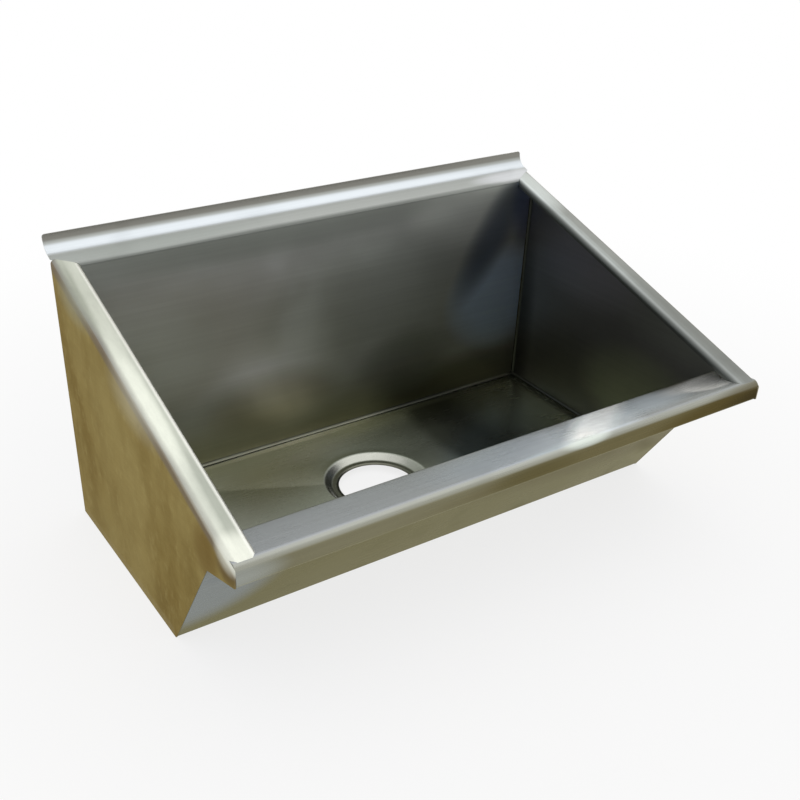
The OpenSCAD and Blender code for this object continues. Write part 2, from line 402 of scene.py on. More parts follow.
@dataclass(frozen=True)
class Band:
    """A soft band of another colour along a line between two points, in millimetres; the tables
    below use it for painted highlights, shade and reflections.
    """

    start: Point
    end: Point
    width: float
    colour: Colour
    amount: float = 1.0
    edge: float = 0.0

    def share(self, n: Paint, place: tuple[Term, ...]) -> Term:
        """Gives how much of the band there is.

        Args:
            n: The tree.
            place: The object's coordinates.

        Returns:
            A share from 0 to the band's amount.
        """
        along = [(b - a) * MM for a, b in zip(self.start, self.end)]
        length = sum(part * part for part in along)
        offsets = [term - start * MM for term, start in zip(place, self.start)]
        share = sum((offset * part for offset, part in zip(offsets, along)), 0.0)
        share = (share * (1 / length)).within(0.0, 1.0)
        total = sum(((offset - share * part) ** 2 for offset, part in zip(offsets, along)), 0.0)
        return n.stepped(total * (1 / (self.width * MM) ** 2), 1.0, self.edge) * self.amount


@dataclass(frozen=True)
class SlantReflection:
    """A long soft patch of painted reflection that lies at a slant on an upright wall, in
    millimetres.
    """

    centre: Point
    length: float
    width: float
    slope: float
    colour: Colour
    amount: float = 1.0
    edge: float = 0.0
    depth: float = 1.8

    def share(self, n: Paint, place: tuple[Term, ...]) -> Term:
        """Gives how much of the patch there is.

        Args:
            n: The tree.
            place: The object's coordinates.

        Returns:
            A share from 0 to the patch's amount.
        """
        across, height = place[0] - self.centre[0] * MM, place[2] - self.centre[2] * MM
        depth = (place[1] - self.centre[1] * MM) * (1 / (self.depth * MM))
        turn = math.radians(self.slope)
        long = (across * math.cos(turn) + height * math.sin(turn)) * (1 / (self.length * MM))
        short = (height * math.cos(turn) - across * math.sin(turn)) * (1 / (self.width * MM))
        return n.stepped(long ** 2 + short ** 2 + depth ** 2, 1.0, self.edge) * self.amount


@dataclass(frozen=True)
class Sector:
    """A patch of painted reflection on the floor between two directions from the waste hole, in
    degrees.
    """

    centre: tuple[float, float]
    start: float
    end: float
    start_blur: float
    end_blur: float
    colour: Colour
    amount: float = 1.0

    def share(self, n: Paint, place: tuple[Term, ...]) -> Term:
        """Gives how much of the patch there is.

        Args:
            n: The tree.
            place: The object's coordinates.

        Returns:
            A share from 0 to the patch's amount.
        """
        x, y, _ = place
        turn = n.add("ShaderNodeMath", {"operation": "ARCTAN2"},
                     {0: y - self.centre[1] * MM, 1: x - self.centre[0] * MM})
        turn = turn * (180 / math.pi)
        after = n.stepped(turn, self.start - self.start_blur, self.start + self.start_blur)
        before = n.stepped(turn, self.end + self.end_blur, self.end - self.end_blur)
        return after * before * self.amount


@dataclass(frozen=True)
class InnerWallShade:
    """The painted shade of an end panel's wall under its rim, on the bowl's side, in millimetres.
    """

    colour: Colour
    amount: float = 1.0
    rim_rear: float = 294.0
    rim_from: float = 179.5
    fall: float = 126 / 377
    below_rim: Ends = (7.0, 10.0)
    wall: Ends = (296.5, 297.5)
    inner: Ends = (299.2, 298.9)

    def share(self, n: Paint, place: tuple[Term, ...]) -> Term:
        """Gives how much of the painted shade there is.

        Args:
            n: The tree.
            place: The object's coordinates.

        Returns:
            A share from 0 to the colour's amount.
        """
        x, y, z = place
        under = self.rim_rear * MM - (self.rim_from * MM - y) * self.fall - z
        wall, inner = n.rising(x.size(), self.wall), n.rising(x.size(), self.inner)
        return n.rising(under, self.below_rim) * wall * inner * self.amount


@dataclass(frozen=True)
class Mottle:
    """A noise that is cut to a mask of spots."""

    scale: float
    detail: float
    roughness: float
    low: float
    high: float
    stretch: Point = (1.0, 1.0, 1.0)
    shift: Point = (0.0, 0.0, 0.0)

    def mask(self, n: Paint, place: tuple[Term, ...]) -> Term:
        """Gives the spots.

        Args:
            n: The tree.
            place: The object's coordinates.

        Returns:
            1 in the spots and 0 between them.
        """
        spot = n.add("ShaderNodeVectorMath", {"operation": "MULTIPLY_ADD"},
                     {0: n.joined(*place), 1: self.stretch, 2: self.shift})
        return n.stepped(n.noise(spot, self.scale, self.detail, self.roughness),
                         self.low, self.high)


@dataclass(frozen=True)
class WarmReflection:
    """A painted warm reflection, mottled, on an end panel's outer face."""

    colour: Colour
    light: Colour
    dark: Colour
    outer: Ends = (298.7, 299.2)
    blotch: Mottle = Mottle(16.0, 4.0, 0.62, 0.36, 0.66, stretch=(1.0, 1.6, 1.0))
    cloud: Mottle = Mottle(7.0, 3.0, 0.5, 0.35, 0.7, (1.0, 1.0, 0.6), (3.0, 0.0, 0.0))
    fleck: Mottle = Mottle(75.0, 3.0, 0.6, 0.5, 0.72, stretch=(1.0, 1.6, 1.0))
    blotch_share: float = 0.6
    cloud_share: float = 0.55
    fleck_share: float = 0.35

    def share(self, n: Paint, place: tuple[Term, ...]) -> Term:
        """Gives 1 on the outer face and 0 elsewhere."""
        return n.rising(place[0].size(), self.outer)

    def shade(self, n: Paint, place: tuple[Term, ...]) -> Term:
        """Gives the mottled colour of the painted warm reflection.

        Args:
            n: The tree.
            place: The object's coordinates.

        Returns:
            The colour.
        """
        colour = n.mixed(self.blotch.mask(n, place) * self.blotch_share, self.colour, self.dark)
        colour = n.mixed(self.cloud.mask(n, place) * self.cloud_share, colour, self.light)
        return n.mixed(self.fleck.mask(n, place) * self.fleck_share, colour, self.light)


@dataclass(frozen=True)
class BrushedSheet:
    """Brushed stainless sheet with its grain, its smudges, and patches of painted highlight, shade
    and reflection.
    """

    name: str
    colour: Colour
    grain: Grain = Grain.WIDTH
    roughness: float = 0.3
    streaks: float = 0.16
    smudges: float = 0.14
    edge_tint: Colour = (1.0, 1.0, 1.0)
    metal: float = 1.0
    painted_light: tuple[Wash | Band | SlantReflection | Sector | InnerWallShade, ...] = ()
    warm_reflection: WarmReflection | None = None
    groove: float = 0.00002
    across: float = 2200.0
    along: float = 12.0
    marks: Mottle = Mottle(14.0, 2.0, 0.5, 0.55, 0.75, shift=(0.0, 0.0, 0.7))

    def material(self) -> bpy.types.Material:
        """Makes the finish.

        Returns:
            The material.
        """
        n = Paint(self.name)
        place = n.place()
        x, y, z = place
        scales = {axis: self.across for axis in "xyz"}
        scales[self.grain.value] = self.along
        lay = n.joined(x * scales["x"], y * scales["y"], z * scales["z"])
        fine = n.noise(lay, 1.0, 4.0, 0.6)
        coarse = n.noise(lay, 0.12, 2.0)
        cloud = n.noise(n.joined(x, y, z), 9.0, 4.0, 0.55)
        mark = self.marks.mask(n, place)
        colour: object = self.colour
        # Painted warm reflection on an end panel's outer face.
        if self.warm_reflection:
            colour = n.mixed(self.warm_reflection.share(n, place), colour, self.warm_reflection.shade(n, place))
        # Patches of painted highlight, shade and reflection.
        for patch in self.painted_light:
            colour = n.mixed(patch.share(n, place), colour, patch.colour)
        tone = 1 + (fine - 0.5) * self.streaks + (coarse - 0.5) * self.streaks
        tone = tone + (cloud - 0.5) * self.smudges - mark * 0.05
        colour = n.scaled(colour, tone)
        rough = self.roughness + (cloud - 0.5) * 0.12 + (fine - 0.5) * 0.1 + mark * 0.06
        bump = n.add("ShaderNodeBump", None,
                     {"Strength": 1.0, "Distance": self.groove, "Height": fine})
        shader = n.add("ShaderNodeBsdfPrincipled", None, {
            "Base Color": colour, "Metallic": self.metal, "Roughness": rough, "Normal": bump,
            "Specular Tint": (*self.edge_tint, 1.0)})
        return n.finished(shader)


@dataclass(frozen=True)
class WeldMetal:
    """Ground and polished weld metal, with a faint straw tint, painted shade on the rear and right
    seams and a painted highlight along the rear seam's toe.
    """

    name: str = "weld metal"
    colour: Colour = linear(118, 120, 107)
    tint: Colour = linear(108, 104, 86)
    shaded: Colour = linear(66, 68, 62)
    toe_highlight: Colour = linear(173, 174, 160)
    toe_shaded: Colour = linear(104, 106, 97)
    roughness: float = 0.48
    right_side: Ends = (285.0, 297.0)
    above_base: Ends = (8.0, 14.0)
    dim_from: Ends = (50.0, 120.0)
    dim_to: Ends = (160.0, 250.0)
    toe_from: Ends = (155.0, 158.0)
    toe_to: Ends = (163.2, 163.8)

    def material(self) -> bpy.types.Material:
        """Makes the finish.

        Returns:
            The material.
        """
        n = Paint(self.name)
        x, y, z = n.place()
        spot = n.joined(x, y, z)
        cloud = n.noise(spot, 60.0, 3.0)
        grit = n.noise(spot, 900.0, 3.0)
        colour = n.mixed(n.stepped(cloud, 0.45, 0.75) * 0.5, self.colour, self.tint)
        # Painted shade: darker on the right seam above its base and between 50 and 250 mm right of
        # the centre, where the rear seam lies in shade.
        side, right = n.rising(x, self.right_side), n.rising(x, self.dim_from)
        colour = n.mixed(side * n.rising(z, self.above_base), colour, self.shaded)
        colour = n.mixed(right * (1 - n.rising(x, self.dim_to)), colour, self.shaded)
        # A painted highlight along the rear seam's toe, dimmer under the painted shade.
        at_toe = n.rising(y, self.toe_from) * (1 - n.rising(y, self.toe_to))
        toe_highlight = n.mixed(right, self.toe_highlight, self.toe_shaded)
        colour = n.mixed(at_toe * (1 - side), colour, toe_highlight)
        rough = self.roughness + (cloud - 0.5) * 0.15 + (grit - 0.5) * 0.12
        bump = n.add("ShaderNodeBump", None,
                     {"Strength": 0.3, "Distance": 0.0001, "Height": grit})
        shader = n.add("ShaderNodeBsdfPrincipled", None, {
            "Base Color": colour, "Metallic": 1.0, "Roughness": rough, "Normal": bump})
        return n.finished(shader)


@cache
def dressed(finish: BrushedSheet | WeldMetal) -> bpy.types.Material:
    """Makes a finish's material once, however many pieces wear it."""
    return finish.material()


@dataclass(frozen=True)
class Sizes:
    """The part's sizes that the visual pieces follow, in millimetres."""

    bowl_half: float = 298.5
    bowl_back: float = 165.0
    base_front: float = -63.5
    lean: float = 0.6142
    wall_offset: float = 1.76
    floor_rear: float = 23.0
    floor_front: float = 17.0
    seam_top: float = 277.2
    waste: float = 46.0
    land: float = 15.5
    land_width: float = 5.0
    recess: float = 60.0
    seat: float = 9.5
    seat_radius: float = 52.0
    hole: float = 44.0
    recess_fold: float = 5.0
    sheet: float = 1.5
    hook_leg_rear: float = 168.5
    hook_half: float = 250.0
    hook_weld: float = 243.5

    def front_wall(self, height: float) -> float:
        """Gives the leaning wall's face at a height."""
        return self.base_front - self.lean * height + self.wall_offset


def settle(piece: bpy.types.Object, slot: str, *nodes: str) -> None:
    """Fixes a piece to the trough.

    Args:
        piece: The visual piece.
        slot: The record's material slot; not used.
        nodes: The CAD nodes that it stands for.
    """
    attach(piece, "root")
    if nodes:
        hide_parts(*nodes)


@dataclass
class Skin:
    """A smooth copy of a solid, with its sharp edges broken."""

    node: str
    slot: str
    finish: BrushedSheet
    edge: float = 0.25
    crease: float = 24.0
    merge: float = 2e-6
    flat: float = 0.2
    weight: int = 60

    def build(self) -> None:
        """Builds the copy, dresses it and puts it in the solid's place."""
        solid = frame["nodes"][self.node]
        mesh = solid.data.copy()
        mesh.name = f"{self.node}_skin"
        shape = bmesh.new()
        shape.from_mesh(mesh)
        bmesh.ops.remove_doubles(shape, verts=shape.verts, dist=self.merge)
        bmesh.ops.dissolve_limit(shape, angle_limit=math.radians(self.flat),
                                 verts=shape.verts, edges=shape.edges)
        for face in shape.faces:
            face.smooth = True
        shape.to_mesh(mesh)
        shape.free()
        for name in [item.name for item in mesh.attributes if item.name == "custom_normal"]:
            mesh.attributes.remove(mesh.attributes[name])
        mesh.set_sharp_from_angle(angle=math.radians(self.crease))
        mesh.materials.clear()
        mesh.materials.append(dressed(self.finish))
        skin = bpy.data.objects.new(mesh.name, mesh)
        bpy.context.scene.collection.objects.link(skin)
        bevel = skin.modifiers.new("broken edges", "BEVEL")
        bevel.width = self.edge * MM
        bevel.segments = 2
        bevel.limit_method = "ANGLE"
        bevel.angle_limit = SHARP_EDGE
        bevel.use_clamp_overlap = True
        bevel.harden_normals = False
        weigh = skin.modifiers.new("even shading", "WEIGHTED_NORMAL")
        weigh.keep_sharp = True
        weigh.weight = self.weight
        settle(skin, self.slot, self.node)
        LOG.info("skin of %s", self.node)


@dataclass
class FloorPan:
    """The creased floor with its pressed waste recess."""

    sizes: Sizes
    finish: BrushedSheet
    columns: int = 48
    rows: int = 12
    arc_steps: int = 6
    hole_margin: float = 4.0
    crease: float = 30.0

    def profile(self) -> list[Point]:
        """Lists the half section from the walls to the hole.

        Returns:
            Points as radius, share of the creased sheet and height, in metres.
        """
        s = self.sizes
        ring = s.recess + s.land_width
        points = [(ring * MM, 1 - row / self.rows, s.land * MM) for row in range(self.rows + 1)]
        path = [(ring, s.land), (s.recess, s.land), (s.seat_radius, s.seat), (s.hole, s.seat)]
        for before, here, after, radius in zip(path, path[1:], path[2:],
                                               (s.recess_fold + s.sheet, s.recess_fold)):
            points += [(r * MM, 0.0, z * MM) for r, z in self.arc(before, here, after, radius)]
        points += [((s.hole + self.hole_margin) * MM, 0.0, s.seat * MM),
                   (s.hole * MM, 0.0, s.seat * MM)]
        return points

    def arc(self, before: Ends, here: Ends, after: Ends, radius: float) -> list[Ends]:
        """Rounds a corner of the half section.

        Args:
            before: The corner before.
            here: The corner that is rounded.
            after: The corner after.
            radius: The arc's radius.

        Returns:
            The arc's points.
        """
        a, b, c = (Vector(corner) for corner in (before, here, after))
        u, v = (a - b).normalized(), (c - b).normalized()
        half = u.angle(v) / 2
        middle = b + (u + v).normalized() * (radius / math.sin(half))
        first = b + u * (radius / math.tan(half)) - middle
        last = b + v * (radius / math.tan(half)) - middle
        turn = math.pi - 2 * half
        result = []
        for step in range(self.arc_steps + 1):
            t = step / self.arc_steps
            swung = first * math.sin((1 - t) * turn) + last * math.sin(t * turn)
            result.append(tuple(middle + swung / math.sin(turn)))
        return result

    def tree(self) -> Shape:
        """Writes the rule: straight falls to the land, creased towards each corner.

        Returns:
            The tree.
        """
        g = Shape("creased floor")
        half, rear, front, rear_z, front_z, waste, rear_turn, front_turn = (
            g.taking(name) for name in ("Half Width", "Rear", "Front", "Rear Height",
                                        "Front Height", "Waste", "Rear Turn", "Front Turn"))
        count = g.taking("Columns", "NodeSocketInt")
        profile = g.add("GeometryNodeMeshToCurve", None, {0: g.given()})
        radius, share, height = g.parted(g.add("GeometryNodeInputPosition"))
        profile, radius = g.noted(profile, radius)
        profile, share = g.noted(profile, share)
        profile, height = g.noted(profile, height)
        circle = g.add("GeometryNodeCurvePrimitiveCircle", None, {"Resolution": count * 4})
        circle, number = g.noted(circle, g.add("GeometryNodeInputIndex"))
        shell = g.add("GeometryNodeCurveToMesh", None, {0: circle, 1: profile})
        turn = number / count
        angle = rear_turn + turn.least(1.0) * (math.pi - 2 * rear_turn)
        angle = angle + (turn - 1).within(0.0, 1.0) * (rear_turn + front_turn)
        angle = angle + (turn - 2).within(0.0, 1.0) * (math.pi - 2 * front_turn)
        angle = angle + (turn - 3).within(0.0, 1.0) * (rear_turn + front_turn)
        across, along = angle.cosine(), angle.sine()
        to_side = half / across.size().most(0.000001)
        to_rear = (rear - waste) / along.most(0.000001)
        to_front = (waste - front) / (0 - along).most(0.000001)
        reach = to_side.least(to_rear).least(to_front)
        edge_y = waste + reach * along
        edge = (reach * across, edge_y,
                front_z + (rear_z - front_z) * ((edge_y - front) / (rear - front)))
        ring = (radius * across, waste + radius * along, height)
        moved = [inner + (outer - inner) * share for inner, outer in zip(ring, edge)]
        shell = g.add("GeometryNodeSetPosition", None, {0: shell, "Position": g.joined(*moved)})
        g.ended(g.add("GeometryNodeMergeByDistance", None, {0: shell, "Distance": 0.00001}))
        return g

    def build(self) -> None:
        """Builds the floor, gives it its thickness and puts it in place."""
        s = self.sizes
        floor = self.tree().made("creased_floor", chain("floor section", self.profile()), {
            "Half Width": s.bowl_half * MM, "Rear": s.bowl_back * MM,
            "Front": s.front_wall(s.floor_front) * MM, "Rear Height": s.floor_rear * MM,
            "Front Height": s.floor_front * MM, "Waste": s.waste * MM,
            "Rear Turn": math.atan2(s.bowl_back - s.waste, s.bowl_half),
            "Front Turn": math.atan2(s.waste - s.front_wall(s.floor_front), s.bowl_half),
            "Columns": self.columns,
            "Material": dressed(self.finish)})
        shape = bmesh.new()
        shape.from_mesh(floor.data)
        bmesh.ops.remove_doubles(shape, verts=shape.verts, dist=1e-5)
        bmesh.ops.dissolve_degenerate(shape, edges=shape.edges, dist=1e-6)
        top = sum(face.normal.z * face.calc_area() for face in shape.faces)
        if top < 0:
            bmesh.ops.reverse_faces(shape, faces=shape.faces)
        shape.to_mesh(floor.data)
        shape.free()
        floor.data.set_sharp_from_angle(angle=math.radians(self.crease))
        thick = floor.modifiers.new("thickness", "SOLIDIFY")
        thick.thickness = s.sheet * MM
        thick.offset = -1
        settle(floor, "brushed_sheet", "floor_pan")
        LOG.info("creased floor, %d faces", len(floor.data.polygons))


@dataclass
class SeamWelds:
    """The ground fillets in the bowl's corners, each swept along its seam."""

    sizes: Sizes
    finish: WeldMetal
    leg: float = 3.0
    pitch: float = 2.4
    ripple: float = 0.03
    sunk: float = 0.1
    steps: int = 8
    rows_per_pitch: int = 5

    def tree(self) -> Shape:
        """Writes the rule of a fillet: a hollow face between two walls, closed behind.

        Returns:
            The tree.
        """
        g = Shape("seam fillet")
        start, end, first, second = (g.taking(name, "NodeSocketVector")
                                     for name in ("Start", "End", "First Leg", "Second Leg"))
        ripple, waves = g.taking("Ripple"), g.taking("Waves")
        rows = g.taking("Rows", "NodeSocketInt")
        grid = g.add("GeometryNodeMeshGrid", None, {
            "Size X": 1.0, "Size Y": 1.0, "Vertices X": rows, "Vertices Y": self.steps + 3})
        grid_x, grid_y, _ = g.parted(g.add("GeometryNodeInputPosition"))
        along = grid_x + 0.5
        step = (grid_y + 0.5) * (self.steps + 2)
        turn = (step * (1 / self.steps)).least(1.0) * (math.pi / 2)
        past = (step - self.steps).within(0.0, 1.0)
        closing = (step - (self.steps + 1)).within(0.0, 1.0)
        behind = (past - closing) * self.sunk
        rough = g.add("ShaderNodeTexNoise", None,
                      {"Vector": g.joined(along * waves, 0.0, 0.0), "Scale": 0.4, "Detail": 1.0})
        size = 1 + ((along * waves * (2 * math.pi)).sine() + (rough - 0.5) * 2) * ripple
        on_first = ((1 - turn.sine()) * (1 - past) + closing - behind) * size
        on_second = ((1 - turn.cosine()) * (1 - past) - behind) * size
        moved = [a + (b - a) * along + u * on_first + v * on_second
                 for a, b, u, v in zip(*(g.parted(each) for each in (start, end, first, second)))]
        grid = g.add("GeometryNodeSetPosition", None, {0: grid, "Position": g.joined(*moved)})
        g.ended(g.add("GeometryNodeMergeByDistance", None, {0: grid, "Distance": 0.000001}))
        return g

    def runs(self) -> dict[str, list[tuple[Point, Point, Point, Point]]]:
        """Lists the seams by the CAD node that holds them.

        Returns:
            Start, end and the two legs' directions of every run, in millimetres.
        """
        s, leg = self.sizes, self.leg
        x, y_rear, y_front = s.bowl_half, s.bowl_back, s.front_wall(s.floor_front)
        rear, front = (x, y_rear, s.floor_rear), (x, y_front, s.floor_front)
        up, back = (0, 0, leg), (0, -leg, 0)
        leant = math.hypot(1, s.lean)
        front_up = (0, -leg * s.lean / leant, leg / leant)
        found = {}
        for node, side in (("right_seam_weld", 1), ("left_seam_weld", -1)):
            inward = (-side * leg, 0, 0)
            at_rear, at_front = (side * x, *rear[1:]), (side * x, *front[1:])
            found[node] = [((side * x, y_rear, s.seam_top), at_rear, inward, back),
                           (at_rear, at_front, inward, up)]
        found["rear_seam_weld"] = [((-x, *rear[1:]), rear, back, up)]
        found["front_seam_weld"] = [((-x, *front[1:]), front, (0, leg, 0), front_up)]
        return found

    def build(self) -> None:
        """Builds the fillets and puts them in the solids' places."""
        tree = self.tree()
        material = dressed(self.finish)
        for node, runs in self.runs().items():
            shape = bmesh.new()
            for run in runs:
                start, end, first, second = (Vector(each) * MM for each in run)
                waves = (end - start).length / (self.pitch * MM)
                part = tree.made(node, bpy.data.meshes.new(node), {
                    "Start": start, "End": end, "First Leg": first, "Second Leg": second,
                    "Ripple": self.ripple, "Waves": waves,
                    "Rows": int(waves * self.rows_per_pitch), "Material": material})
                shape.from_mesh(part.data)
                bpy.data.objects.remove(part)
            bmesh.ops.holes_fill(shape, edges=shape.edges, sides=0)
            bmesh.ops.recalc_face_normals(shape, faces=shape.faces)
            mesh = bpy.data.meshes.new(f"{node}_fillet")
            shape.to_mesh(mesh)
            shape.free()
            mesh.materials.append(material)
            mesh.set_sharp_from_angle(angle=SHARP_EDGE)
            fillet = bpy.data.objects.new(mesh.name, mesh)
            bpy.context.scene.collection.objects.link(fillet)
            settle(fillet, "weld", node)
            LOG.info("fillet for %s, %d faces", node, len(mesh.polygons))


@dataclass
class SpotWelds:
    """The row of spot welds that holds the hook rail to the back panel."""

    sizes: Sizes
    finish: WeldMetal
    count: int = 12
    radius: float = 3.0
    proud: float = 0.15
    margin: float = 20.0
    corners: int = 20

    def build(self) -> None:
        """Builds the row from one Geometry Nodes tree."""
        g = Shape("spot weld row")
        radius, proud = g.taking("Radius"), g.taking("Proud")
        points = g.add("GeometryNodeMeshToPoints", None, {0: g.given()})
        disc = g.add("GeometryNodeMeshCylinder", None,
                     {"Vertices": self.corners, "Radius": radius, "Depth": proud * 2})
        row = g.add("GeometryNodeInstanceOnPoints", None,
                    {"Points": points, "Instance": disc, "Rotation": (math.pi / 2, 0, 0)})
        g.ended(row)
        s = self.sizes
        reach = s.hook_half - self.margin
        places = [((-reach + 2 * reach * i / (self.count - 1)) * MM, s.hook_leg_rear * MM,
                   s.hook_weld * MM) for i in range(self.count)]
        row = g.made("spot_welds", chain("spot weld places", places), {
            "Radius": self.radius * MM, "Proud": self.proud * MM,
            "Material": dressed(self.finish)})
        row.data.set_sharp_from_angle(angle=SHARP_EDGE)
        settle(row, "weld")
        LOG.info("%d spot welds", self.count)


@dataclass(frozen=True)
class Lamp:
    """A soft area lamp that looks at the trough."""

    name: str
    place: Point
    size: tuple[float, float]
    power: float
    aim: Point = (0.0, 0.0, 0.15)

    def build(self) -> None:
        """Hangs the lamp."""
        data = bpy.data.lights.new(self.name, "AREA")
        data.shape = "RECTANGLE"
        data.size, data.size_y = self.size
        data.energy = self.power
        lamp = bpy.data.objects.new(self.name, data)
        bpy.context.scene.collection.objects.link(lamp)
        lamp.location = self.place
        lamp.rotation_euler = (Vector(self.aim) - Vector(self.place)).to_track_quat(
            "-Z", "Y").to_euler()
        lamp.visible_camera = False


@dataclass
class Studio:
    """The pale floor, the soft light and the camera."""

    azimuth: float = -31.65
    elevation: float = 31.04
    roll: float = 0.38
    camera_mm: Point = (-562.4, -756.3, 644.7)
    focal_px: float = 1021.5
    centre_px: tuple[float, float] = (327.0, 448.9)
    image_px: float = 800.0
    sensor: float = 36.0
    sky: float = 0.82
    floor_half: float = 8.0
    floor_grey: float = 0.9
    floor_glow: float = 0.78
    floor_fade: tuple[float, float] = (0.4, 1.1)
    lamps: tuple[Lamp, ...] = (
        Lamp("soft box overhead", (0.5, -0.1, 1.9), (2.2, 2.0), 4.6),
        Lamp("low right", (1.45, 1.42, 0.7), (0.09, 0.3), 0.35, (0.09, -0.17, 0.16)),
    )

    def camera(self) -> None:
        """Places the camera at the photograph's angle."""
        data = bpy.data.cameras.new("camera")
        data.sensor_width = self.sensor
        data.sensor_fit = "HORIZONTAL"
        data.lens = self.sensor * self.focal_px / self.image_px
        data.shift_x = (self.image_px / 2 - self.centre_px[0]) / self.image_px
        data.shift_y = (self.centre_px[1] - self.image_px / 2) / self.image_px
        data.clip_start = 0.01
        data.clip_end = 100
        camera = bpy.data.objects.new("camera", data)
        bpy.context.scene.collection.objects.link(camera)
        a, e, r = (math.radians(angle) for angle in (self.azimuth, self.elevation, self.roll))
        forward = Vector((-math.sin(a) * math.cos(e), math.cos(a) * math.cos(e), -math.sin(e)))
        level = Vector((math.cos(a), math.sin(a), 0))
        above = level.cross(forward)
        right = math.cos(r) * level + math.sin(r) * above
        up = right.cross(forward)
        turn = Matrix((right, up, -forward)).transposed().to_4x4()
        camera.matrix_world = Matrix.Translation(Vector(self.camera_mm) * MM) @ turn
        bpy.context.scene.camera = camera

    @staticmethod
    def seen(n: Tree) -> Term:
        """Finds the rays that show the background: from the camera, a gloss or a glass.

        Args:
            n: The tree.

        Returns:
            1 for such a ray and 0 for the rest.
        """
        path = n.add("ShaderNodeLightPath").socket.node
        rays = [Term(n, path.outputs[name])
                for name in ("Is Camera Ray", "Is Glossy Ray", "Is Transmission Ray")]
        return (rays[0] + rays[1] + rays[2]).least(1.0)

    def floor(self) -> None:
        """Lays the pale floor, which shows white and keeps the trough's shadow."""
        mesh = bpy.data.meshes.new("floor")
        half, grey = self.floor_half, self.floor_grey
        mesh.from_pydata([(-half, -half, 0), (half, -half, 0), (half, half, 0), (-half, half, 0)],
                         [], [(0, 1, 2, 3)])
        floor = bpy.data.objects.new("floor", mesh)
        bpy.context.scene.collection.objects.link(floor)
        n = Paint("pale floor")
        pale = n.add("ShaderNodeBsdfDiffuse", None, {"Color": (grey, grey, grey, 1)})
        white = n.add("ShaderNodeEmission", None, {"Color": (1, 1, 1, 1), "Strength": 1.0})
        x, y, _ = n.place()
        far = n.stepped((x ** 2 + y ** 2) ** 0.5, *self.floor_fade)
        glow = self.floor_glow + far * (1 - self.floor_glow)
        both = n.add("ShaderNodeMixShader", None, {0: self.seen(n) * glow, 1: pale, 2: white})
        mesh.materials.append(n.finished(both))

    def world(self) -> None:
        """Sets the world, which lights from all sides alike and shows white."""
        world = bpy.data.worlds.new("studio")
        bpy.context.scene.world = world
        world.use_nodes = True
        n = Tree(world.node_tree)
        n.tree.nodes.clear()
        plain = n.add("ShaderNodeBackground", None,
                      {"Color": (1, 1, 1, 1), "Strength": self.sky})
        white = n.add("ShaderNodeBackground", None, {"Color": (1, 1, 1, 1), "Strength": 1.0})
        both = n.add("ShaderNodeMixShader", None, {0: self.seen(n), 1: plain, 2: white})
        out = n.tree.nodes.new("ShaderNodeOutputWorld")
        n.tree.links.new(both.socket, out.inputs["Surface"])

    def build(self) -> None:
        """Sets up all of the studio."""
        bpy.context.scene.view_settings.view_transform = "Standard"
        self.camera()
        self.floor()
        self.world()
        for lamp in self.lamps:
            lamp.build()


BOWL_FACE, SKIN_DEEP = 164.6, 1.8
RIGHT_FACE, RIGHT_DEEP = 297.5, 2.4
LIP_FACE, LIP_DEEP = -200.0, 7.0


def on_back(x: float, z: float, width: float, height: float, colour: Colour,
            amount: float = 1.0, edge: float = 0.0) -> Wash:
    """Puts a patch of painted light and shade on the bowl's back face alone, not on the sheet's
    rear face.
    """
    return Wash((x, BOWL_FACE, z), (width, SKIN_DEEP, height), colour, amount, edge)


def on_right(y: float, z: float, depth: float, height: float, colour: Colour,
             amount: float = 1.0, edge: float = 0.0) -> Wash:
    """Puts a patch of painted light and shade on the bowl's right face."""
    return Wash((RIGHT_FACE, y, z), (RIGHT_DEEP, depth, height), colour, amount, edge)


def on_lip(x: float, z: float, width: float, height: float, colour: Colour,
           amount: float = 1.0, edge: float = 0.0) -> Wash:
    """Puts a patch of painted light and shade on the lip's face."""
    return Wash((x, LIP_FACE, z), (width, LIP_DEEP, height), colour, amount, edge)


STEEL = linear(172, 175, 171)
LEDGE = linear(163, 167, 171)
# The left end sheet is a lit copy of the steel and the right end sheet a shaded copy: painted
# light and shade.
LIT_END_STEEL = linear(190, 194, 182)
SHADED_END_STEEL = linear(158, 161, 158)
PAN = linear(164, 166, 152)
MILL = linear(138, 141, 144)
# Warm tints of the gloss on the end and front sheets; the gold colours after them are a painted
# warm reflection on the end panels' outer faces.
END_TINT, FRONT_TINT = (0.55, 0.5, 0.38), (0.8, 0.78, 0.62)
GOLD_REFLECTION = WarmReflection(linear(148, 131, 84), linear(172, 158, 110), linear(116, 95, 52))

# Painted light and shade on the left end panel.
LEFT_END_LIGHT_AND_SHADE = (
    # Painted shade on its wall inside the bowl.
    InnerWallShade(linear(120, 122, 112)),
    # Outer face: painted shade by the notch, a painted shadow under the rim, a lighter painted
    # reflection along the bottom edge and painted shade at the front corner.
    Wash((-300, -145, 150), (3, 30, 34), linear(112, 88, 52), 0.6),
    Band((-300, 182, 289), (-300, -192, 163), 9, linear(124, 116, 112), 0.75),
    Band((-300, -55, 4), (-300, 175, 2), 9, linear(170, 158, 122), 0.4),
    Wash((-300, -186, 158), (5, 26, 16), linear(104, 88, 66), 0.8),
    # Rim: darker painted reflections, then painted highlights along its outer fold, its front end
    # and its inner edge.
    Wash((-287, 120, 270), (20, 80, 40), linear(164, 168, 155), 0.9),
    Wash((-285, -130, 190), (14, 85, 40), linear(168, 172, 161), 0.85),
    Band((-281, 210, 305), (-299, -230, 157), 9, linear(226, 229, 217), 0.5),
    Wash((-292, -20, 227), (11, 120, 60), linear(240, 243, 230), 0.6),
    Wash((-290, -184, 172), (30, 26, 20), linear(236, 238, 226), 0.75),
    Band((-276.5, 165, 287), (-276.5, -192, 167.5), 5.5, linear(255, 255, 248), 0.9),
)
